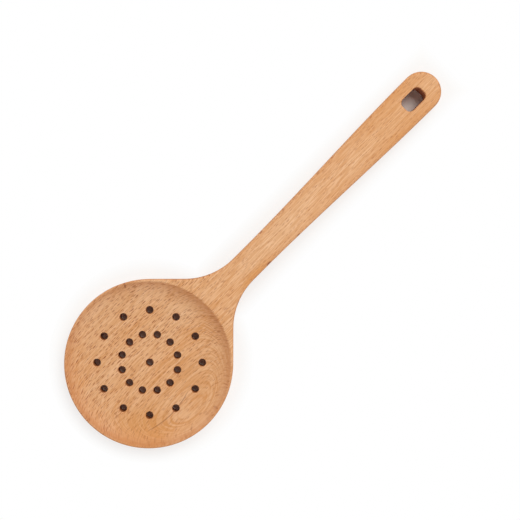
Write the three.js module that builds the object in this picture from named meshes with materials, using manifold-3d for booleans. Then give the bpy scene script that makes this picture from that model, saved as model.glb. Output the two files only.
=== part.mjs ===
// A wooden skimmer shaped from one beech board: a round dished head with drain holes, a flared neck and
// a widening handle with a hanging slot. Millimetres, +Z up, handle along +X. It lies on the table plane
// z = 0 as it does when put down, on the flat foot under its head and on the end of its handle, and the
// origin is on that plane under the middle of its length. The section functions below count x from the
// middle of the head.

import * as THREE from 'three';
import { mergeVertices, toCreasedNormals } from 'three/addons/utils/BufferGeometryUtils.js';
import Module from 'manifold-3d';

const overallLength = 320;

// Head: a shallow dish over a flat foot and a belly that rises from it to the rim
const headDiameter = 110;
const rimLand = 1.4; // flat left between the dish and the outside of the head
const dishDepth = 7;
const dishCrown = 1.2; // part of the depth taken up by the gentle hollow of the dish floor
const dishWallPower = 10; // how tightly the dish floor turns up into its wall
const floorThickness = 7.5;
const footDiameter = 76;
const rimThickness = 4.5; // height of the outer edge of the head
const bellyPower = 2.2; // how tightly the belly turns up from the foot to the rim
const rimEdgeRadius = 1;

// Drain holes: one in the middle and two rings, set half a step apart
const drainHoleDiameter = 5;
const innerRingDiameter = 37.7;
const outerRingDiameter = 69.2;
const holesPerRing = 12;

// Neck and handle
const flareAngle = Math.PI / 4; // where the neck leaves the round of the head, from the handle's line
const neckFilletRadius = 45.5;
const neckWidth = 19.2;
const neckLength = 10.7; // straight neck between the fillet and where the handle starts to widen
const handleEndWidth = 26.2;
const handleThickness = 11;
const handleEdgeRadius = 2.4;
const rootReach = 60; // from the middle of the head to where the handle has its full thickness
const rootBlend = 6; // softness of the hollow where the handle's underside runs into the belly
const bendReach = 75; // from the middle of the head to where the handle starts down to the table
const levelBeforeSlot = 10; // length of level handle on the head side of the slot

// Hanging slot
const slotLength = 16.4;
const slotWidth = 9.8;
const slotCornerRadius = 3.4;
const slotToEnd = 12.6; // wood between the slot and the end of the handle

// Fineness of the facets
const outlineSteps = [27, 3, 8, 1, 14, 9]; // head, flare, neck fillet, neck, handle side, rounded end
const edgeSteps = 3;
const bellySteps = 12;
const dishSteps = 11;
const dishSegments = 64;
const holeSegments = 20;
const slotCornerSteps = 5;
const creaseAngle = Math.PI / 6; // facets that meet more sharply than this are shaded as an edge

const cutMargin = 5; // how far a cutting shape stands past the wood
const headRadius = headDiameter / 2;
const dishRadius = headRadius - rimLand;
const footRadius = footDiameter / 2;
const rimHeight = floorThickness + dishDepth;
const endRadius = handleEndWidth / 2;
const halfNeck = neckWidth / 2;
const leaveX = headRadius * Math.cos(flareAngle); // where the neck leaves the round of the head
const leaveY = headRadius * Math.sin(flareAngle);
const flareEndX = leaveX + (leaveY - halfNeck) * Math.tan(flareAngle); // where flare and neck would cross
const filletReach = neckFilletRadius * Math.tan((Math.PI / 2 - flareAngle) / 2);
const waistX = flareEndX + filletReach + neckLength; // where the handle starts to widen
const tipX = overallLength - headRadius;
const endCentreX = tipX - endRadius;
const slotCentreX = tipX - slotToEnd - slotLength / 2;
const levelX = slotCentreX - slotLength / 2 - levelBeforeSlot;
const handleDrop = rimHeight - handleThickness; // brings the underside of the handle's end to the table

const { smoothstep } = THREE.MathUtils;

// Height of the upper face: level with the rim, then an easy curve down to the handle's level end
function topHeight(x) {
  return rimHeight - handleDrop * smoothstep(x, bendReach, levelX);
}

// Height of the dish floor at a distance from the middle of the head
function dishHeight(radius) {
  const share = radius / dishRadius;
  const wall = (dishDepth - dishCrown) * share ** dishWallPower;
  return floorThickness + dishCrown * share ** 2 + wall;
}

// Height of the belly: flat on the foot, then rising ever more steeply to the rim
function bellyHeight(radius) {
  const share = Math.max(radius - footRadius, 0) / (headRadius - footRadius);
  return (rimHeight - rimThickness) * share ** bellyPower;
}

// Height of the underside: the lower of the belly and the handle, with a soft hollow where they cross
function underHeight(x, y) {
  const belly = bellyHeight(Math.hypot(x, y));
  const handle = topHeight(x) - handleThickness * smoothstep(x, 0, rootReach);
  const overlap = Math.max(rootBlend - Math.abs(belly - handle), 0) / rootBlend;
  return Math.min(belly, handle) - overlap ** 2 * rootBlend / 4;
}

// Rounding of the outer edge: small on the thin rim, larger along the handle
function edgeRadius(x) {
  const share = smoothstep(x, leaveX, waistX);
  return THREE.MathUtils.lerp(rimEdgeRadius, handleEdgeRadius, share);
}

// Half of the outline, from the far side of the head to the end of the handle: the round of the head, a
// straight flare, a hollow fillet, the straight neck, the handle's side easing out to its full width and the
// rounded end, all tangent
function halfOutline() {
  const leave = new THREE.Vector2(leaveX, leaveY);
  const filletStart = new THREE.Vector2(
    flareEndX - filletReach * Math.sin(flareAngle),
    halfNeck + filletReach * Math.cos(flareAngle),
  );
  const filletEnd = new THREE.Vector2(flareEndX + filletReach, halfNeck);
  const filletCentre = new THREE.Vector2(filletEnd.x, halfNeck + neckFilletRadius);
  const waist = new THREE.Vector2(waistX, halfNeck);

  // control points at thirds of the length ease the side from one width to the other
  const third = (endCentreX - waistX) / 3;
  const widening = new THREE.CubicBezierCurve(
    waist,
    new THREE.Vector2(waistX + third, halfNeck),
    new THREE.Vector2(endCentreX - third, endRadius),
    new THREE.Vector2(endCentreX, endRadius),
  );
  const arc = (centre, radius, from, to, clockwise) =>
    new THREE.EllipseCurve(centre.x, centre.y, radius, radius, from, to, clockwise);
  return [
    arc(new THREE.Vector2(0, 0), headRadius, Math.PI, flareAngle, true),
    new THREE.LineCurve(leave, filletStart),
    arc(filletCentre, neckFilletRadius, flareAngle + Math.PI, 3 * Math.PI / 2, false),
    new THREE.LineCurve(filletEnd, waist),
    widening,
    arc(new THREE.Vector2(endCentreX, 0), endRadius, Math.PI / 2, 0, true),
  ];
}

// Stations along the half outline, each a point with the direction into the wood
function outlineStations() {
  const stations = [];
  halfOutline().forEach((curve, part) => {
    const steps = outlineSteps[part];
    for (let step = stations.length ? 1 : 0; step <= steps; step++) {
      const point = curve.getPoint(step / steps);
      const tangent = curve.getTangent(step / steps);
      stations.push({ point, inward: new THREE.Vector2(tangent.y, -tangent.x) });
    }
  });
  const far = stations[0];
  const tip = stations[stations.length - 1];
  far.point.set(-headRadius, 0);
  far.inward.set(1, 0);
  tip.point.set(tipX, 0);
  tip.inward.set(-1, 0);
  return stations;
}

// Points down one edge of the blank: a quarter round, the upright side, and a quarter round below
function edgePoints({ point, inward }) {
  const radius = edgeRadius(point.x);
  const place = (angle) => point.clone().addScaledVector(inward, radius * (1 - Math.sin(angle)));
  const points = [];
  for (let step = 0; step <= edgeSteps; step++) {
    const angle = Math.PI / 2 * step / edgeSteps;
    const { x, y } = place(angle);
    points.push(new THREE.Vector3(x, y, topHeight(x) - radius * (1 - Math.cos(angle))));
  }
  for (let step = edgeSteps; step >= 0; step--) {
    const angle = Math.PI / 2 * step / edgeSteps;
    const { x, y } = place(angle);
    points.push(new THREE.Vector3(x, y, underHeight(x, y) + radius * (1 - Math.cos(angle))));
  }
  return points;
}

// One ring of the blank: down the near edge, across the underside and up the mirrored edge
function sectionRing(station) {
  const edge = edgePoints(station);
  const mirrored = edge.map((point) => new THREE.Vector3(point.x, -point.y, point.z)).reverse();
  const { x, y: halfWidth } = edge[edge.length - 1];
  const across = [];
  for (let step = 1; step < bellySteps; step++) {
    const y = halfWidth * (1 - 2 * step / bellySteps);
    across.push(new THREE.Vector3(x, y, underHeight(x, y)));
  }
  return [...edge, ...across, ...mirrored];
}

// The shaped blank before the dish, holes and slot are cut: rings joined from end to end
function blankGeometry() {
  const rings = outlineStations().map(sectionRing);
  const count = rings[0].length;
  const index = [];
  for (let ring = 0; ring + 1 < rings.length; ring++) {
    for (let spot = 0; spot < count; spot++) {
      const next = (spot + 1) % count;
      const [a, b] = [ring * count + spot, ring * count + next];
      const [c, d] = [a + count, b + count];
      index.push(a, d, b, a, c, d);
    }
  }
  const geometry = new THREE.BufferGeometry().setFromPoints(rings.flat());
  return geometry.setIndex(index);
}

// The space of the dish, open upwards past the rim along the slope of its wall
function dishGeometry() {
  const profile = [];
  for (let step = 0; step <= dishSteps; step++) {
    const radius = dishRadius * Math.sin(Math.PI / 2 * step / dishSteps);
    profile.push(new THREE.Vector2(radius, dishHeight(radius)));
  }
  const rimSlope = (2 * dishCrown + dishWallPower * (dishDepth - dishCrown)) / dishRadius;
  profile.push(new THREE.Vector2(dishRadius + cutMargin / rimSlope, rimHeight + cutMargin));
  profile.push(new THREE.Vector2(0, rimHeight + cutMargin));
  return new THREE.LatheGeometry(profile, dishSegments).rotateX(Math.PI / 2);
}

// One drain hole as a drill would cut it, at a place on the head
function drainHoleGeometry(x, y) {
  const radius = drainHoleDiameter / 2;
  const depth = rimHeight + 2 * cutMargin;
  const drill = new THREE.CylinderGeometry(radius, radius, depth, holeSegments);
  return drill.rotateX(Math.PI / 2).translate(x, y, rimHeight / 2);
}

// All the drain holes: the inner ring has a hole on the handle's line, the outer ring straddles it
function drainHoleGeometries() {
  const step = 2 * Math.PI / holesPerRing;
  const holes = [drainHoleGeometry(0, 0)];
  for (let hole = 0; hole < holesPerRing; hole++) {
    const inner = step * hole;
    const outer = step * (hole + 0.5);
    const [innerRadius, outerRadius] = [innerRingDiameter / 2, outerRingDiameter / 2];
    holes.push(drainHoleGeometry(innerRadius * Math.cos(inner), innerRadius * Math.sin(inner)));
    holes.push(drainHoleGeometry(outerRadius * Math.cos(outer), outerRadius * Math.sin(outer)));
  }
  return holes;
}

// The hanging slot: a rectangle with rounded corners, cut straight through the end of the handle
function slotGeometry() {
  const x = slotLength / 2 - slotCornerRadius;
  const y = slotWidth / 2 - slotCornerRadius;
  const quarter = Math.PI / 2;
  const shape = new THREE.Shape();
  shape.absarc(x, y, slotCornerRadius, 0, quarter);
  shape.absarc(-x, y, slotCornerRadius, quarter, 2 * quarter);
  shape.absarc(-x, -y, slotCornerRadius, 2 * quarter, 3 * quarter);
  shape.absarc(x, -y, slotCornerRadius, 3 * quarter, 4 * quarter);
  const depth = handleThickness + 2 * cutMargin;
  const options = { depth, bevelEnabled: false, curveSegments: slotCornerSteps };
  return new THREE.ExtrudeGeometry(shape, options).translate(slotCentreX, 0, -cutMargin);
}

const wasm = await Module();
wasm.setup();

// A closed geometry as a solid, with its shared points merged and its collapsed triangles left out
function solidFrom(geometry) {
  geometry.deleteAttribute('normal');
  geometry.deleteAttribute('uv');
  const merged = mergeVertices(geometry);
  const corners = merged.index.array;
  const triangles = [];
  for (let start = 0; start < corners.length; start += 3) {
    const [a, b, c] = corners.slice(start, start + 3);
    if (a !== b && b !== c && c !== a) triangles.push(a, b, c);
  }
  const vertProperties = new Float32Array(merged.attributes.position.array);
  const triVerts = new Uint32Array(triangles);
  return new wasm.Manifold(new wasm.Mesh({ numProp: 3, vertProperties, triVerts }));
}

// A solid back as a geometry, with soft normals on the curves and crisp ones at the cut edges
function geometryFrom(solid) {
  const { vertProperties, triVerts } = solid.getMesh();
  const geometry = new THREE.BufferGeometry();
  geometry.setAttribute('position', new THREE.BufferAttribute(vertProperties, 3));
  geometry.setIndex(new THREE.BufferAttribute(triVerts, 1));
  return toCreasedNormals(geometry, creaseAngle);
}

function skimmer() {
  const cuts = [dishGeometry(), ...drainHoleGeometries(), slotGeometry()];
  const carved = cuts.reduce((wood, cut) => wood.subtract(solidFrom(cut)), solidFrom(blankGeometry()));
  const beech = new THREE.MeshStandardMaterial({ color: 0xdca779, roughness: 0.55, metalness: 0 });
  const mesh = new THREE.Mesh(geometryFrom(carved), beech);
  mesh.name = 'skimmer';
  mesh.position.x = headRadius - overallLength / 2;
  return mesh;
}

const part = new THREE.Group();
part.add(skimmer());

export default part;
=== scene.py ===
import math

import bmesh
import bpy
import numpy as np
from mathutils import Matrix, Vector


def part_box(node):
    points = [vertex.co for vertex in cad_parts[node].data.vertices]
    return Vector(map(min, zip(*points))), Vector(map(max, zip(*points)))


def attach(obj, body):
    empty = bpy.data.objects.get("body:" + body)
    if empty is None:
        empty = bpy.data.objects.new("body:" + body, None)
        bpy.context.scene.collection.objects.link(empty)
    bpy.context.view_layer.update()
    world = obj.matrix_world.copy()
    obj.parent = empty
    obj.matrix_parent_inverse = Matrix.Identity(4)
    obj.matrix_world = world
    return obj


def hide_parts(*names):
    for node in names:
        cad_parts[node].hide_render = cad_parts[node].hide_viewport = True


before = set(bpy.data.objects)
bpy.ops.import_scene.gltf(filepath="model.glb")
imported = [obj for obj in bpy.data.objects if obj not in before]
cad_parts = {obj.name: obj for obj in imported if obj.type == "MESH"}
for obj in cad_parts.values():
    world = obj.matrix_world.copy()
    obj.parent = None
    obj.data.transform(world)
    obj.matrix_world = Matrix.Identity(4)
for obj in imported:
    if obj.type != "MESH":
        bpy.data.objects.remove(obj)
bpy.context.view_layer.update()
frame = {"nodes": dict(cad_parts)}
boxLow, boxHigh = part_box("skimmer")
millimetre = 0.001
print("frame loaded:", ", ".join(frame["nodes"]))

# The wood in millimetres, x counted along the handle from the middle of the head.
skimmer = {
    "length": (boxHigh.x - boxLow.x) / millimetre,
    "headRadius": (boxHigh.y - boxLow.y) / 2 / millimetre,
    "rimHeight": (boxHigh.z - boxLow.z) / millimetre,
    "rimLand": 1.4,  # flat between the dish and the outside of the head
    "rimThickness": 4.5,
    "rimEdge": 1.0,  # rounding of the head's outer edge
    "lipSoftness": 0.7,  # sanding of the corner between the dish and the flat
    "floorThickness": 7.5,
    "dishCrown": 1.2,  # part of the depth in the gentle hollow of the floor
    "dishWallPower": 10,
    "footRadius": 38.0,
    "bellyPower": 2.2,
    "flareAngle": math.radians(45),  # a whole number of steps of the head's mesh
    "neckFillet": 45.5,
    "neckWidth": 19.2,
    "neckLength": 10.7,  # straight between the fillet and where the handle starts to widen
    "endWidth": 26.2,
    "thickness": 11.0,
    "handleEdge": 2.4,
    "rootReach": 60.0,  # where the handle has its full thickness
    "rootBlend": 6.0,  # softness of the hollow between belly and handle
    "bendReach": 75.0,  # where the handle starts down to the table
}
drainHoles = {"radius": 2.5, "innerRing": 18.85, "outerRing": 34.6, "perRing": 12, "sanding": 0.3}
hangingSlot = {
    "length": 16.4,
    "width": 9.8,
    "corner": 3.4,
    "toEnd": 12.6,
    "levelBefore": 10.0,  # the handle lies level from this far before the slot
    "sanding": 0.8,
}
meshSteps = {
    "perHole": 12,  # steps across a twelfth of a turn
    "cellSide": 8,
    "cellRows": 6,
    "dishRows": 10,
    "lipBand": 4.0,  # millimetres inside the edge of the dish in which the rows are closer
    "neckRows": 104,
    "bulgePower": 12,  # how soon the rows of the neck lose the curve of the rim
    "endRows": 30,
    "edgeRows": 6,
    "sandingRows": 4,
    "slotRows": 9,
    "wallRows": 6,
    "weld": 0.002,  # millimetres within which points are joined
}

headRadius = skimmer["headRadius"]
dishRadius = headRadius - skimmer["rimLand"]
dishDepth = skimmer["rimHeight"] - skimmer["floorThickness"]
rimInset = headRadius - skimmer["rimEdge"]
tipX = skimmer["length"] - headRadius
endRadius = skimmer["endWidth"] / 2
endCentre = np.array([tipX - endRadius, 0.0])
slotCentre = np.array([tipX - hangingSlot["toEnd"] - hangingSlot["length"] / 2, 0.0])
levelX = slotCentre[0] - hangingSlot["length"] / 2 - hangingSlot["levelBefore"]
handleDrop = skimmer["rimHeight"] - skimmer["thickness"]


# unit directions in the plan: cosine and sine of each angle
def heading(angle):
    return np.stack([np.cos(angle), np.sin(angle)], axis=-1)


# eases from 0 at start to 1 at stop: three times the share squared less twice its cube
def ease(value, start, stop):
    share = np.clip((value - start) / (stop - start), 0, 1)
    return share * share * (3 - 2 * share)


# the lower of two heights, with a parabola as deep as a quarter of blend over the corner where they meet
def softLower(first, second, blend):
    overlap = np.maximum(blend - np.abs(first - second), 0) / blend
    return np.minimum(first, second) - overlap**2 * blend / 4


# flat of the rim and top of the handle: level, then eased down by the drop that brings the end to the table
def topHeight(x):
    return skimmer["rimHeight"] - handleDrop * ease(x, skimmer["bendReach"], levelX)


# dish floor, its crown growing with the square of the radius and its wall with a high power
def dishHeight(radius):
    share = radius / dishRadius
    wall = (dishDepth - skimmer["dishCrown"]) * share ** skimmer["dishWallPower"]
    return skimmer["floorThickness"] + skimmer["dishCrown"] * share**2 + wall


# upper face: the lower of the flat and the dish
def upperFace(plan):
    dish = dishHeight(np.hypot(plan[..., 0], plan[..., 1]))
    return softLower(topHeight(plan[..., 0]), dish, skimmer["lipSoftness"])


# lower face: the lower of the belly, a power curve outside the flat foot, and the underside of the handle
def lowerFace(plan):
    radius = np.hypot(plan[..., 0], plan[..., 1])
    share = np.maximum(radius - skimmer["footRadius"], 0) / (headRadius - skimmer["footRadius"])
    belly = (skimmer["rimHeight"] - skimmer["rimThickness"]) * share ** skimmer["bellyPower"]
    handle = topHeight(plan[..., 0]) - skimmer["thickness"] * ease(plan[..., 0], 0, skimmer["rootReach"])
    return softLower(belly, handle, skimmer["rootBlend"])


# how far a quarter round falls at a distance in from its edge: radius less the height of its circle
def quarterRound(inset, radius):
    short = np.clip(radius - inset, 0, radius)
    return radius - np.sqrt(radius**2 - short**2)


# insets of a quarter round at even angles, from the edge inwards, as shares of its radius
def roundShares(rows):
    return 1 - np.cos(np.linspace(0, math.pi / 2, rows + 1))


# the straight flare, hollow fillet, straight neck and widening side of the plan, each tangent to the next
flareAngle = skimmer["flareAngle"]
halfNeck = skimmer["neckWidth"] / 2
leavePoint = headRadius * heading(flareAngle)
flareWay = heading(flareAngle - math.pi / 2)
flareEndX = leavePoint[0] + (leavePoint[1] - halfNeck) * math.tan(flareAngle)  # flare meets neck here
filletReach = skimmer["neckFillet"] * math.tan((math.pi / 2 - flareAngle) / 2)
neckStartX = flareEndX + filletReach
waistX = neckStartX + skimmer["neckLength"]
filletCentre = np.array([neckStartX, halfNeck + skimmer["neckFillet"]])
filletFrom = (flareEndX - leavePoint[0]) / math.sin(flareAngle) - filletReach
neckFrom = filletFrom + skimmer["neckFillet"] * (math.pi / 2 - flareAngle)
endFrom = neckFrom + endCentre[0] - neckStartX
tipAt = endFrom + endRadius * math.pi / 2
cutAt = neckFrom + levelX - neckStartX  # where the end patch with the slot begins


# one side of the plan by distance walked from the head: flare, fillet, eased side and round end, and the
# directions inwards from it
def sidePath(distance):
    walked = distance[:, None]
    where = [walked < filletFrom, walked < neckFrom, walked < endFrom]
    filletAngle = math.pi + flareAngle + (distance - filletFrom) / skimmer["neckFillet"]
    endAngle = math.pi / 2 - (distance - endFrom) / endRadius
    sideX = neckStartX + distance - neckFrom
    share = np.clip((sideX - waistX) / (endCentre[0] - waistX), 0, 1)
    slope = (endRadius - halfNeck) * 6 * share * (1 - share) / (endCentre[0] - waistX)
    flare = leavePoint + walked * flareWay
    fillet = filletCentre + skimmer["neckFillet"] * heading(filletAngle)
    sideY = halfNeck + (endRadius - halfNeck) * ease(sideX, waistX, endCentre[0])
    side = np.stack([sideX, sideY], axis=-1)
    point = np.select(where, [flare, fillet, side], endCentre + endRadius * heading(endAngle))
    flareInward = np.broadcast_to(-heading(flareAngle), point.shape)
    sideInward = heading(np.arctan(slope) - math.pi / 2)
    inward = np.select(where, [flareInward, heading(filletAngle), sideInward], -heading(endAngle))
    return point, inward


# rounding of the outer edge, from the rim's to the handle's along the neck
def edgeRounding(x):
    share = ease(x, leavePoint[0], waistX)
    return skimmer["rimEdge"] + (skimmer["handleEdge"] - skimmer["rimEdge"]) * share


# the same side moved in by the edge rounding
def insetSide(distance):
    point, inward = sidePath(distance)
    return point + inward * edgeRounding(point[:, :1])


# distance from the middle of a rounded rectangle to its edge along each angle: side, end or corner circle
def roundedRectangle(angle, halfLength, halfWidth, corner):
    almostZero = 1e-9  # keeps the two divisions finite
    along, across = np.abs(np.cos(angle)), np.abs(np.sin(angle))
    toEnd = halfLength / np.maximum(along, almostZero)
    toSide = halfWidth / np.maximum(across, almostZero)
    flatLength, flatWidth = halfLength - corner, halfWidth - corner
    aim = flatLength * along + flatWidth * across
    toCorner = aim + np.sqrt(np.maximum(aim**2 - flatLength**2 - flatWidth**2 + corner**2, 0))
    meets = [toEnd * across <= flatWidth, toSide * along <= flatLength]
    return np.select(meets, [toEnd, toSide], toCorner)


# distance from the middle of a drain hole to its sanded edge: the radius and the step, the same all round
def holeEdge(angle, step):
    return np.full(angle.shape, drainHoles["radius"] + step)


# the same for the hanging slot: its rounded rectangle, grown by the step on all sides
def slotEdge(angle, step):
    halfLength, halfWidth = hangingSlot["length"] / 2 + step, hangingSlot["width"] / 2 + step
    return roundedRectangle(angle, halfLength, halfWidth, hangingSlot["corner"] + step)


# rings of plan points from an opening to a loop round it: the sanded edge first, then even shares of the way
# out, and how far each ring falls
def openingRings(centre, loop, edgeDistance, sanding, rows):
    away = loop - centre
    angle = np.arctan2(away[:, 1], away[:, 0])
    inset = sanding * roundShares(meshSteps["sandingRows"])
    sanded = np.stack([centre + edgeDistance(angle, step)[:, None] * heading(angle) for step in inset])
    share = np.linspace(0, 1, rows + 1)[1:, None, None]
    plan = np.concatenate([sanded, sanded[-1] + (loop - sanded[-1]) * share])
    fall = np.zeros(plan.shape[:2])
    fall[: len(inset)] = quarterRound(inset, sanding)[:, None]
    return plan, fall


# loop round one hole's share of a ring: out along one ray, round the outer arc, in along the other, back
def cellLoop(middle, inner, outer):
    half = math.pi / drainHoles["perRing"]
    across = np.linspace(-half, half, meshSteps["perHole"] + 1)
    outwards = np.linspace(inner, outer, meshSteps["cellSide"] + 1)
    onArc, onRay = meshSteps["perHole"], meshSteps["cellSide"]
    radius = np.concatenate([outwards[:-1], np.full(onArc, outer), outwards[:0:-1], np.full(onArc, inner)])
    angle = np.concatenate([np.full(onRay, -half), across[:-1], np.full(onRay, half), across[:0:-1]])
    return radius[:, None] * heading(angle + middle)


# quads of a grid, one row further and one column on, the last column joined to the first where it is closed
def gridQuads(rows, columns, closed):
    row = np.arange(rows - 1)[:, None]
    column = np.arange(columns if closed else columns - 1)[None, :]
    onward = (column + 1) % columns
    corners = [row * columns + column, (row + 1) * columns + column,
               (row + 1) * columns + onward, row * columns + onward]
    return np.stack(np.broadcast_arrays(*corners), axis=-1).reshape(-1, 4)


surfaces = []  # (points, quads) of every patch, in millimetres


# adds a grid of points as quads, turned over where its outside is behind
def addSurface(points, closed, turned=False):
    quads = gridQuads(points.shape[0], points.shape[1], closed)
    surfaces.append((points.reshape(-1, 3), quads[:, ::-1] if turned else quads))


# straight wall between an upper and a lower loop: even shares of the way down
def addWall(top, under, turned=False):
    share = np.linspace(0, 1, meshSteps["wallRows"] + 1)[:, None, None]
    addSurface(top + (under - top) * share, closed=True, turned=turned)


# lifts a plan grid to both faces of the wood, the upper lowered and the lower raised by fall
def addBothFaces(plan, fall, closed):
    top = np.concatenate([plan, (upperFace(plan) - fall)[..., None]], axis=-1)
    under = np.concatenate([plan, (lowerFace(plan) + fall)[..., None]], axis=-1)
    addSurface(top, closed)
    addSurface(under, closed, turned=True)
    return top, under


# head: one cell for the middle hole, two rings of cells round the others, then plain rings out to the rim
perTurn = drainHoles["perRing"] * meshSteps["perHole"]
fanSteps = round(perTurn * flareAngle / math.pi)  # those between the two flares
turnAngles = np.arange(perTurn) * 2 * math.pi / perTurn
ringGap = (drainHoles["outerRing"] - drainHoles["innerRing"]) / 2
cellRadii = drainHoles["innerRing"] / 2, drainHoles["innerRing"] + ringGap, drainHoles["outerRing"] + ringGap
holeCells = [(np.zeros(2), cellRadii[0] * heading(turnAngles))]
for ring, (distance, offset) in enumerate([(drainHoles["innerRing"], 0.0), (drainHoles["outerRing"], 0.5)]):
    for hole in range(drainHoles["perRing"]):
        middle = (hole + offset) * 2 * math.pi / drainHoles["perRing"]
        holeCells.append((distance * heading(middle), cellLoop(middle, cellRadii[ring], cellRadii[ring + 1])))
for centre, loop in holeCells:
    rings, fall = openingRings(centre, loop, holeEdge, drainHoles["sanding"], meshSteps["cellRows"])
    top, under = addBothFaces(rings, fall, closed=True)
    addWall(top[0], under[0], turned=True)
lipRadius = dishRadius - meshSteps["lipBand"]
ringRadii = np.concatenate([np.linspace(cellRadii[2], lipRadius, meshSteps["dishRows"])[:-1],
                            np.linspace(lipRadius, rimInset, 2 * meshSteps["dishRows"])])
headRings = ringRadii[:, None, None] * heading(turnAngles)
addBothFaces(headRings, np.zeros(headRings.shape[:2]), closed=True)

# neck and handle: rows between the two inset sides, the first on the head's arc, whose bulge fades along
# the neck
neckWalk = cutAt * np.linspace(0, 1, meshSteps["neckRows"] + 1)
sideRow = insetSide(neckWalk)
fan = np.linspace(-flareAngle, flareAngle, fanSteps + 1)
bulge = rimInset * (1 - math.cos(flareAngle)) * (1 - neckWalk / cutAt) ** meshSteps["bulgePower"]
bow = (np.cos(fan) - math.cos(flareAngle)) / (1 - math.cos(flareAngle))
handleX = sideRow[:, :1] + bulge[:, None] * bow
handleY = sideRow[:, 1:] * np.sin(fan) / math.sin(flareAngle)
handlePlan = np.stack([handleX, handleY], axis=-1)
addBothFaces(handlePlan, np.zeros(handlePlan.shape[:2]), closed=False)

# end of the handle: rings from the slot to the inset outline
endWalk = np.linspace(cutAt, tipAt, meshSteps["endRows"] + 1)
endSide = insetSide(endWalk)
endLoop = np.concatenate([handlePlan[-1, ::-1], endSide[1:] * [1, -1], endSide[-2:0:-1]])
rings, fall = openingRings(slotCentre, endLoop, slotEdge, hangingSlot["sanding"], meshSteps["slotRows"])
top, under = addBothFaces(rings, fall, closed=True)
addWall(top[0], under[0], turned=True)

# rounded edge all the way round: the far arc, one side out to the tip and the other back, with insets along
# the inward directions
farAngles = np.linspace(flareAngle, 2 * math.pi - flareAngle, perTurn - fanSteps + 1)
sidePoint, sideInward = sidePath(np.concatenate([neckWalk, endWalk[1:]]))
mirror = np.array([1, -1])
outline = np.concatenate([headRadius * heading(farAngles), sidePoint[1:] * mirror, sidePoint[-2:0:-1]])
inward = np.concatenate([-heading(farAngles), sideInward[1:] * mirror, sideInward[-2:0:-1]])
rounding = edgeRounding(outline[:, 0])
edgeInset = roundShares(meshSteps["edgeRows"])[::-1, None] * rounding
edgePlan = outline + edgeInset[..., None] * inward
edgeTop, edgeUnder = addBothFaces(edgePlan, quarterRound(edgeInset, rounding), closed=True)
addWall(edgeTop[-1], edgeUnder[-1])

# one welded mesh in metres, in the frame of the CAD
counts = np.cumsum([0] + [len(points) for points, quads in surfaces])
points = np.concatenate([points for points, quads in surfaces])
quads = np.concatenate([quads + start for (_, quads), start in zip(surfaces, counts)])
points[:, 0] += boxLow.x / millimetre + headRadius
points[:, 2] += boxLow.z / millimetre
woodMesh = bpy.data.meshes.new("beechSkimmer")
woodMesh.from_pydata((points * millimetre).tolist(), [], quads.tolist())
welded = bmesh.new()
welded.from_mesh(woodMesh)
bmesh.ops.remove_doubles(welded, verts=welded.verts, dist=meshSteps["weld"] * millimetre)
openEdges = sum(not edge.is_manifold for edge in welded.edges)
welded.to_mesh(woodMesh)
welded.free()
woodMesh.polygons.foreach_set("use_smooth", np.ones(len(woodMesh.polygons), bool))
woodPiece = bpy.data.objects.new("beechSkimmer", woodMesh)
bpy.context.scene.collection.objects.link(woodPiece)
print("skimmer:", len(woodMesh.polygons), "quads,", openEdges, "open edges")


# linear colour of an sRGB hex value: the sRGB curve undone for each channel
def linear(hexColour):
    channels = [int(hexColour[digit:digit + 2], 16) / 255 for digit in (1, 3, 5)]
    return [c / 12.92 if c <= 0.04045 else ((c + 0.055) / 1.055) ** 2.4 for c in channels] + [1.0]


# adds a node, its settings, and its inputs in order or by name; a node or an output among them is linked
def addNode(tree, kind, inputs=(), **settings):
    node = tree.nodes.new("ShaderNode" + kind)
    for name, value in settings.items():
        setattr(node, name, value)
    pairs = inputs.items() if isinstance(inputs, dict) else enumerate(inputs)
    for name, value in pairs:
        if isinstance(value, bpy.types.Node):
            value = next(socket for socket in value.outputs if socket.enabled)
        if isinstance(value, bpy.types.NodeSocket):
            tree.links.new(value, node.inputs[name])
        else:
            node.inputs[name].default_value = value
    return node


# sizes in millimetres as metres
def metres(sizes):
    return [size * millimetre for size in sizes]


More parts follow.
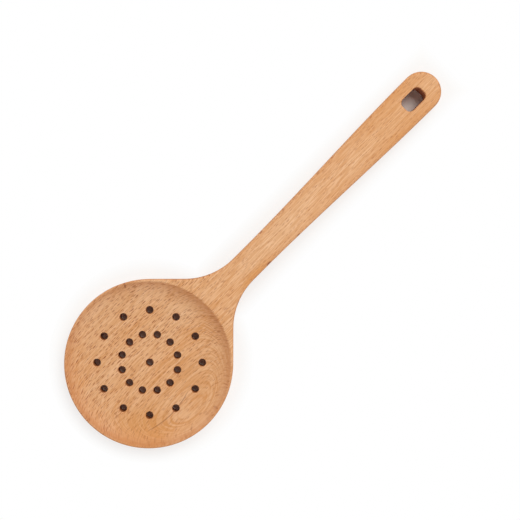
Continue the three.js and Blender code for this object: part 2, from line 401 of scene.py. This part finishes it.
# Oiled beech, planed and sanded. The eye gets a pink-tan ground with fine straight fibres, and all over it
# short brown dashes along the grain, the ends of the wood's rays. In the dish the growth bands show as faint
# loops. End grain, rim and bored walls drink more oil and are browner. Where the surface turns over at an
# edge, or stands steep, it is darkened with painted shade.
# Sizes are millimetres along the grain, across the rays and along them; places are counted from the middle
# of the head. Of four numbers, two say where a share starts and stops, and two how large it is there.
beech = {
    "ground": "#daae84",
    "orange": "#ce9058",
    "pale": "#edc198",
    "golden": "#cb8434",
    "ring": "#c9894f",
    "endGrain": "#b87030",
    "rim": "#b87440",
    "edge": "#a4683c",
    # painted shade: the colour that surfaces take as they turn away from level
    "fleck": "#8c400a",
    "bore": "#9a5734",
    "streak": "#83492a",
    "roughness": (0.48, 0.64),
    "ior": 1.5,
    "specular": 0.35,
    "poreDepth": 0.05,
    "poreStrength": 0.15,
    "rayLean": math.radians(45),  # the rays lean over towards -Y as they rise
    "wanderSize": (60.0, 14.0, 14.0),
    "wander": 0.35,  # how far the grain strays from the straight
    "spindleCore": 0.7,  # inner share of a fleck or dash that has its full colour
    "fleckCell": (3.6, 0.75, 9.0),
    "fleckSize": (3.2, 0.35, 9.0),
    "fleckChance": (0.1, 1.0, 0.0, 0.8),
    "dashCell": (4.4, 1.3, 9.0),
    "dashSize": (3.7, 0.5, 9.0),
    "dashChance": (0.0, 1.0, 0.1, 0.9),
    "dashAcross": (-25.0, 20.0, 0.45, 1.0),
    "dashAlong": (30.0, 85.0, 1.0, 0.55),
    "markAcross": (-36.0, -12.0, 0.55, 1.0),
    "markAlong": (30.0, 85.0, 1.0, 0.7),
    "toneSize": (90.0, 26.0, 26.0),
    "toneShare": (0.35, 0.65, 0.0, 0.45),
    "palest": 135.0,  # the handle is palest here
    "paleShare": (90.0, 0.0, 0.0, 0.4),
    "fibreSize": (10.0, 0.4, 2.5),  # real fibres are far finer; drawn about a pixel wide to show
    "fibreShare": (0.4, 0.62, 0.0, 1.0),
    "fibreAlong": (30.0, 80.0, 0.5, 0.6),
    "bandLean": math.radians(-7.4),  # the growth bands in the dish lie nearly level and rise towards -Y
    "bandSize": (26.0, 9.0, 0.11),
    "bandAcross": (15.0, -25.0, 0.25, 0.7),
    "bandFade": 1.0,  # they fade this near to the edge of the dish
    "orangeAcross": (2.0, 11.0, 0.0, 0.6),  # the sides of the handle are more orange
    "orangeAlong": (60.0, 90.0, 0.0, 1.0),
    "ringWidth": 2.3,
    "ringShare": (0.55, 1.0, 0.0, 0.3),
    "endShare": (0.1, 0.8, 0.0, 0.55),
    "rimBand": 3.5,  # width of the browner band inside the rim
    "rimAlong": (40.0, 28.0, 0.0, 0.45),
    # painted shade on surfaces that turn away from level: rounded edges and steep walls
    "edgeShadeShare": (0.93, 0.3, 0.0, 0.7),
    "edgeShadeOutwards": (40.0, 46.0, 0.8, 1.0),  # less of it at the holes
    "holeOutwards": (42.0, 40.0, 0.0, 0.45),
    "slotOutwards": (11.0, 10.0, 0.0, 1.0),
    "boreShare": (0.6, 0.2, 0.0, 1.0),
}
# patches of tone: x and y from the middle of the head, length and width in millimetres, colour and share
tonePatches = [
    (-36.0, -30.0, 56.0, 46.0, "golden", 0.45),
    (36.0, 34.0, 36.0, 30.0, "pale", 0.35),
    (40.0, 4.0, 20.0, 26.0, "pale", 0.3),
    (92.0, -9.0, 44.0, 12.0, "golden", 0.45),
    (232.0, 0.0, 100.0, 60.0, "golden", 0.2),
]
patchFade = (1.0, 0.3)  # shares of a patch's reach over which it comes in
# a dark growth line that crosses the head: a parabola of y over x, in millimetres from the middle of the head
growthLine = {
    "middle": -14.0,
    "lowest": -34.1,
    "bend": 0.0085,
    "half": 15.0,
    "fade": 5.0,
    "width": 0.5,
    "wiggle": 1.5,
    "share": 0.65,
}
# small dark marks: x and y from the middle of the head, length and width in millimetres, and turn
smallMarks = [
    (24.8, 46.6, 3.4, 1.0, math.radians(45)),
    (101.5, -8.9, 4.5, 1.2, 0.0),
    (128.4, -9.5, 2.6, 1.1, 0.0),
]
markDepth = 4.0  # they end this far below the rim
markFade = (1.2, 0.6, 0.0, 0.9)

beechMaterial = bpy.data.materials.new("oiledBeech")
beechMaterial.use_nodes = True
tree = beechMaterial.node_tree
tree.nodes.clear()
headX = boxLow.x + headRadius * millimetre
slotX = headX + slotCentre[0] * millimetre
rayLean = (beech["rayLean"], 0, 0)
bandLean = (beech["bandLean"], 0, 0)
endless = 1e6  # so large a size that its direction counts for nothing
colourA, colourB = 6, 7  # a Mix node's colours by number, since its A and B by name are plain numbers
place = addNode(tree, "TexCoord").outputs["Object"]
facing = addNode(tree, "SeparateXYZ", [addNode(tree, "NewGeometry").outputs["Normal"]])
levelness = addNode(tree, "Math", [facing.outputs["Z"]], operation="ABSOLUTE")
endFacing = addNode(tree, "Math", [facing.outputs["X"]], operation="ABSOLUTE")


# distance from a place in the given sizes: length of the turned offset over the sizes, the last its height
def reachFrom(centre, sizes, turn=0.0):
    offset = addNode(tree, "Mapping", [place, centre, (0, 0, turn), metres(sizes)], vector_type="TEXTURE")
    return addNode(tree, "VectorMath", [offset], operation="LENGTH")


# noise stretched to the given sizes, leaning with the rays or the bands: places over sizes, then smooth noise
def stretchedNoise(where, lean, sizes, detail):
    spot = addNode(tree, "Mapping", [where, (0, 0, 0), lean, metres(sizes)], vector_type="TEXTURE")
    return addNode(tree, "TexNoise", {"Vector": spot, "Scale": 1.0, "Detail": detail})


# spindles scattered one to a cell: 1 in the middle and 0 at the surface of each, and a number of its own
def spindles(cell, size):
    spot = addNode(tree, "Mapping", [grain, (0, 0, 0), rayLean, metres(cell)], vector_type="TEXTURE")
    cells = addNode(tree, "TexVoronoi", {"Vector": spot, "Scale": 1.0})
    offset = addNode(tree, "VectorMath", [spot, cells.outputs["Position"]], operation="SUBTRACT")
    thinner = [2 * across / own for across, own in zip(cell, size)]
    offset = addNode(tree, "VectorMath", [offset, thinner], operation="MULTIPLY")
    reach = addNode(tree, "VectorMath", [offset], operation="LENGTH")
    chance = addNode(tree, "SeparateColor", [cells.outputs["Color"]]).outputs["Red"]
    return addNode(tree, "MapRange", [reach, 1.0, beech["spindleCore"]]), chance


# millimetres from the middle of the head along and across the handle, and in the plan from head and slot
fromHead = addNode(tree, "Mapping", [place, (headX, 0, 0), (0, 0, 0), metres((1, 1, 1))],
                   vector_type="TEXTURE")
alongX, acrossY, _ = addNode(tree, "SeparateXYZ", [fromHead]).outputs
fromAxis = addNode(tree, "Math", [acrossY], operation="ABSOLUTE")
headReach = reachFrom((headX, 0, 0), (1, 1, endless))
slotReach = reachFrom((slotX, 0, 0), (1, 1, endless))

# the grain wanders a little to both sides of the straight, as noise lies about a half
wanderNoise = stretchedNoise(place, (0, 0, 0), beech["wanderSize"], detail=1.0).outputs["Color"]
wander = addNode(tree, "VectorMath", [wanderNoise, (0.5, 0.5, 0.5)], operation="SUBTRACT")
wanderReach = metres((0, beech["wander"], beech["wander"]))
strayed = addNode(tree, "VectorMath", [wander, wanderReach], operation="MULTIPLY")
grain = addNode(tree, "VectorMath", [place, strayed], operation="ADD")

# ray flecks, and broader dashes where a ray is cut near its middle, most of them on the +Y side of the head
fleckShape, fleckChance = spindles(beech["fleckCell"], beech["fleckSize"])
fleckShare = addNode(tree, "MapRange", [fleckChance, *beech["fleckChance"]])
flecks = addNode(tree, "Math", [fleckShape, fleckShare], operation="MULTIPLY")
dashes, dashChance = spindles(beech["dashCell"], beech["dashSize"])
for spot, fade in ((dashChance, "dashChance"), (acrossY, "dashAcross"), (alongX, "dashAlong")):
    dashShare = addNode(tree, "MapRange", [spot, *beech[fade]])
    dashes = addNode(tree, "Math", [dashes, dashShare], operation="MULTIPLY")
marks = addNode(tree, "Math", [flecks, dashes], operation="MAXIMUM")
for spot, fade in ((acrossY, "markAcross"), (alongX, "markAlong")):
    markShare = addNode(tree, "MapRange", [spot, *beech[fade]])
    marks = addNode(tree, "Math", [marks, markShare], operation="MULTIPLY")

# slow changes of tone, palest on the handle
toneNoise = stretchedNoise(grain, rayLean, beech["toneSize"], detail=2.0)
toneShare = addNode(tree, "MapRange", [toneNoise, *beech["toneShare"]])
fromPalest = addNode(tree, "Math", [alongX, beech["palest"]], operation="SUBTRACT")
fromPalest = addNode(tree, "Math", [fromPalest], operation="ABSOLUTE")
paleShare = addNode(tree, "MapRange", [fromPalest, *beech["paleShare"]])
tone = addNode(tree, "Math", [toneShare, paleShare], operation="ADD", use_clamp=True)
tones = {"Factor": tone, colourA: linear(beech["orange"]), colourB: linear(beech["ground"])}
colour = addNode(tree, "Mix", tones, data_type="RGBA")
layers = []  # (colour, shares that are multiplied), laid on in this order

# fibres, in the dish mixed with the growth bands, which run round its wall in loops
inDish = addNode(tree, "MapRange", [headReach, dishRadius, dishRadius - beech["bandFade"]])
bandAcross = addNode(tree, "MapRange", [acrossY, *beech["bandAcross"]])
bandShare = addNode(tree, "Math", [inDish, bandAcross], operation="MULTIPLY")
fibreNoise = stretchedNoise(grain, rayLean, beech["fibreSize"], detail=0.0)
bandNoise = stretchedNoise(place, bandLean, beech["bandSize"], detail=0.0)
fibre = addNode(tree, "Mix", {"Factor": bandShare, "A": fibreNoise, "B": bandNoise})
fibreShare = addNode(tree, "MapRange", [fibre, *beech["fibreShare"]])
layers.append(("pale", fibreShare, addNode(tree, "MapRange", [alongX, *beech["fibreAlong"]])))
orangeShare = addNode(tree, "MapRange", [fromAxis, *beech["orangeAcross"]])
layers.append(("orange", orangeShare, addNode(tree, "MapRange", [alongX, *beech["orangeAlong"]])))
for patchX, patchY, patchLength, patchWidth, patchColour, share in tonePatches:
    patchPlace = headX + patchX * millimetre, patchY * millimetre, 0
    reach = reachFrom(patchPlace, (patchLength / 2, patchWidth / 2, endless))
    patchShare = addNode(tree, "MapRange", [reach, *patchFade, 0.0, share], interpolation_type="SMOOTHSTEP")
    layers.append((patchColour, patchShare))

# growth rings: a thin darker line at the end of each year, counted along the rays
ringSizes = metres((endless, beech["ringWidth"], beech["ringWidth"]))
ringPlace = addNode(tree, "Mapping", [grain, (0, 0, 0), rayLean, ringSizes], vector_type="TEXTURE")
ringYear = addNode(tree, "SeparateXYZ", [ringPlace]).outputs["Z"]
ringYear = addNode(tree, "Math", [ringYear], operation="FRACT")
layers.append(("ring", addNode(tree, "MapRange", [ringYear, *beech["ringShare"]])))

# browner where the fibres end, towards the rim and in the bores; painted shade where the surface turns over
# at an edge
layers.append(("endGrain", addNode(tree, "MapRange", [endFacing, *beech["endShare"]])))
rimShare = addNode(tree, "MapRange", [headReach, headRadius - beech["rimBand"], rimInset])
layers.append(("rim", rimShare, addNode(tree, "MapRange", [alongX, *beech["rimAlong"]])))
# painted shade: the steeper the surface, the darker, on the rounded edges and on the walls of dish, holes and
# slot
edgeShadeShare = addNode(tree, "MapRange", [levelness, *beech["edgeShadeShare"]])
layers.append(("edge", edgeShadeShare, addNode(tree, "MapRange", [headReach, *beech["edgeShadeOutwards"]])))
layers.append(("fleck", marks))
nearHoles = addNode(tree, "MapRange", [headReach, *beech["holeOutwards"]])
nearSlot = addNode(tree, "MapRange", [slotReach, *beech["slotOutwards"]])
nearBore = addNode(tree, "Math", [nearSlot, nearHoles], operation="MAXIMUM")
layers.append(("bore", nearBore, addNode(tree, "MapRange", [levelness, *beech["boreShare"]])))

# the growth line: how far a point lies from the parabola, faded at both ends
fromMiddle = addNode(tree, "Math", [alongX, growthLine["middle"]], operation="SUBTRACT")
squared = addNode(tree, "Math", [fromMiddle, fromMiddle], operation="MULTIPLY")
parabola = addNode(tree, "Math", [squared, growthLine["bend"], growthLine["lowest"]],
                   operation="MULTIPLY_ADD")
wiggle = addNode(tree, "SeparateXYZ", [wander]).outputs["Y"]
lineY = addNode(tree, "Math", [wiggle, growthLine["wiggle"], parabola], operation="MULTIPLY_ADD")
fromLine = addNode(tree, "Math", [acrossY, lineY], operation="SUBTRACT")
fromLine = addNode(tree, "Math", [fromLine], operation="ABSOLUTE")
lineShare = addNode(tree, "MapRange", [fromLine, growthLine["width"], 0.0])
toEnds = addNode(tree, "Math", [fromMiddle], operation="ABSOLUTE")
fadeEnd = growthLine["half"] + growthLine["fade"]
fadeShare = addNode(tree, "MapRange", [toEnds, fadeEnd, growthLine["half"], 0.0, growthLine["share"]])
layers.append(("streak", lineShare, fadeShare))
for markX, markY, markLength, markWidth, markTurn in smallMarks:
    markPlace = headX + markX * millimetre, markY * millimetre, boxHigh.z
    reach = reachFrom(markPlace, (markLength / 2, markWidth / 2, markDepth), markTurn)
    layers.append(("streak", addNode(tree, "MapRange", [reach, *markFade])))
for name, share, *others in layers:
    for other in others:
        share = addNode(tree, "Math", [share, other], operation="MULTIPLY")
    coats = {"Factor": share, colourA: colour, colourB: linear(beech[name])}
    colour = addNode(tree, "Mix", coats, data_type="RGBA")

poreHeight = addNode(tree, "Math", [fibre, marks], operation="SUBTRACT")
pores = addNode(tree, "Bump", {"Height": poreHeight, "Strength": beech["poreStrength"],
                               "Distance": beech["poreDepth"] * millimetre})
roughness = addNode(tree, "MapRange", [fibre, 0.0, 1.0, *beech["roughness"]])
wood = addNode(tree, "BsdfPrincipled", {"Base Color": colour, "Roughness": roughness, "IOR": beech["ior"],
                                        "Specular IOR Level": beech["specular"], "Normal": pores})
addNode(tree, "OutputMaterial", {"Surface": wood})
woodMesh.materials.append(beechMaterial)
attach(woodPiece, "root")
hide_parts("skimmer")
print("oiled beech:", len(tree.nodes), "nodes")


# 1 for what the camera sees by itself, in gloss or through glass, 0 for other light: the largest of three
def seenRays(tree):
    path = addNode(tree, "LightPath").outputs
    direct = addNode(tree, "Math", [path["Is Camera Ray"], path["Is Glossy Ray"]], operation="MAXIMUM")
    return addNode(tree, "Math", [direct, path["Is Transmission Ray"]], operation="MAXIMUM")


# White paper floor, matt: it takes the soft shadow and shows nothing of its own.
floor = {
    "half": 3.0,  # metres
    "colour": "#fcf9f4",
    "roughness": 0.9,
    "white": 0.7,  # share of plain white that is seen beside the wood
    # painted light: between these distances from the wood, plain white comes over the paper and its shadow
    "paintedWhiteFrom": 4.5,  # millimetres from the wood between which it grows to all white
    "paintedWhiteTo": 14.0,
    "underHead": (0.85, 1.0),  # shares of the head's radius between which the white begins
    "underEnd": (0.75, 0.95),  # the same round the slot, of the radius of the end
}
floorCorners = np.array([[-1, -1, 0], [1, -1, 0], [1, 1, 0], [-1, 1, 0]]) * floor["half"]
floorMesh = bpy.data.meshes.new("paperFloor")
floorMesh.from_pydata(floorCorners.tolist(), [], [(0, 1, 2, 3)])
floorPiece = bpy.data.objects.new("paperFloor", floorMesh)
bpy.context.scene.collection.objects.link(floorPiece)
paperMaterial = bpy.data.materials.new("whitePaper")
paperMaterial.use_nodes = True
paperTree = paperMaterial.node_tree
paperTree.nodes.clear()
paperPlace = addNode(paperTree, "TexCoord").outputs["Object"]

# none of the white under the wood itself, so that what shows through holes and slot is only lit paper
underHead = metres(share * headRadius for share in floor["underHead"])
underEnd = metres(share * endRadius for share in floor["underEnd"])
paperFromHead = addNode(paperTree, "VectorMath", [paperPlace, (headX, 0, 0)], operation="DISTANCE")
paperFromSlot = addNode(paperTree, "VectorMath", [paperPlace, (slotX, 0, 0)], operation="DISTANCE")
clearOfHead = addNode(paperTree, "MapRange", [paperFromHead, *underHead])
clearOfSlot = addNode(paperTree, "MapRange", [paperFromSlot, *underEnd])

# painted light: all white away from the wood, laid over the outer part of its shadow; the distance is the
# smaller of those from the head and from a box round the handle
halfway = tipX / 2 * millimetre
alongPaper, acrossPaper, _ = addNode(paperTree, "SeparateXYZ", [paperPlace]).outputs
fromLongAxis = addNode(paperTree, "Math", [acrossPaper], operation="ABSOLUTE")
besideHandle = addNode(paperTree, "Math", [fromLongAxis, halfNeck * millimetre], operation="SUBTRACT")
fromHalfway = addNode(paperTree, "Math", [alongPaper, headX + halfway], operation="SUBTRACT")
fromHalfway = addNode(paperTree, "Math", [fromHalfway], operation="ABSOLUTE")
beyondEnds = addNode(paperTree, "Math", [fromHalfway, halfway], operation="SUBTRACT")
offHandle = addNode(paperTree, "Math", [besideHandle, beyondEnds], operation="MAXIMUM")
offHead = addNode(paperTree, "Math", [paperFromHead, headRadius * millimetre], operation="SUBTRACT")
offWood = addNode(paperTree, "Math", [offHandle, offHead], operation="MINIMUM")
paintedWhiteBetween = metres((floor["paintedWhiteFrom"], floor["paintedWhiteTo"]))
paintedWhiteShare = addNode(paperTree, "MapRange", [offWood, *paintedWhiteBetween, floor["white"]])
white = seenRays(paperTree)
for share in (clearOfHead, clearOfSlot, paintedWhiteShare):
    white = addNode(paperTree, "Math", [white, share], operation="MULTIPLY")
paper = addNode(paperTree, "BsdfDiffuse", {"Color": linear(floor["colour"]), "Roughness": floor["roughness"]})
glow = addNode(paperTree, "Emission", {"Color": (1, 1, 1, 1), "Strength": 1.0})
sheet = addNode(paperTree, "MixShader", [white, paper, glow])
addNode(paperTree, "OutputMaterial", {"Surface": sheet})
floorMesh.materials.append(paperMaterial)
print("paper floor laid")

# Straight down, the handle running up to the right. The middle of the picture and the point under the lens, a
# little beside it, are counted from the middle of the head, in millimetres.
view = {
    "turn": math.radians(-44.93),
    "aim": (98.97, -3.33),
    "foot": (98.97, 12.0),
    "width": 337.7,  # across the picture at the rim
    "aboveRim": 550.0,
    "sensor": 36.0,
}
cameraData = bpy.data.cameras.new("topCamera")
cameraData.sensor_width = view["sensor"]
cameraData.lens = view["sensor"] * view["aboveRim"] / view["width"]
lensShift = (np.array(view["aim"]) - view["foot"]) / view["width"]
cameraData.shift_x = float(lensShift @ heading(view["turn"]))
cameraData.shift_y = float(lensShift @ heading(view["turn"] + math.pi / 2))
camera = bpy.data.objects.new("topCamera", cameraData)
camera.location = Vector((*view["foot"], skimmer["rimHeight"] + view["aboveRim"])) * millimetre
camera.location.x += headX
camera.rotation_euler = (0, 0, view["turn"])
bpy.context.scene.collection.objects.link(camera)
bpy.context.scene.camera = camera

# Soft studio light: a softbox from one o'clock in the picture, pale walls all round and little from above.
softbox = {
    "bearing": math.radians(12),
    "tilt": math.radians(41),
    "distance": 2.5,  # metres, as is the size
    "size": 1.5,
    "share": 0.36,  # the part of full white that it gives a level white surface
}
studioWalls = {
    "strength": 1.66,
    "overhead": 0.08,
    "overheadFrom": math.radians(38),  # angles from straight up between which overhead gives way to walls
    "overheadTo": math.radians(60),
}
lampData = bpy.data.lights.new("softbox", "AREA")
lampData.size = softbox["size"]
# a flat lamp lights what faces it to its power over the square of pi times the distance
lampData.energy = softbox["share"] * (math.pi * softbox["distance"]) ** 2 / math.cos(softbox["tilt"])
lamp = bpy.data.objects.new("softbox", lampData)
lampWay = Vector((*(math.sin(softbox["tilt"]) * heading(softbox["bearing"])), math.cos(softbox["tilt"])))
lamp.location = lampWay * softbox["distance"]
lamp.rotation_euler = lampWay.to_track_quat("Z", "Y").to_euler()
bpy.context.scene.collection.objects.link(lamp)
world = bpy.data.worlds.new("paleStudio")
bpy.context.scene.world = world
world.use_nodes = True
worldTree = world.node_tree
worldTree.nodes.clear()
skyWay = addNode(worldTree, "TexCoord").outputs["Generated"]
skyHeight = addNode(worldTree, "SeparateXYZ", [skyWay]).outputs["Z"]
wallHeights = math.cos(studioWalls["overheadFrom"]), math.cos(studioWalls["overheadTo"])
wallLevels = studioWalls["overhead"], studioWalls["strength"]
wallLight = addNode(worldTree, "MapRange", [skyHeight, *wallHeights, *wallLevels])
strength = addNode(worldTree, "Mix", {"Factor": seenRays(worldTree), "A": wallLight, "B": 1.0})
studio = addNode(worldTree, "Background", {"Color": (1, 1, 1, 1), "Strength": strength})
addNode(worldTree, "OutputWorld", {"Surface": studio})
bpy.context.scene.view_settings.view_transform = "Standard"
print("camera and lights placed")
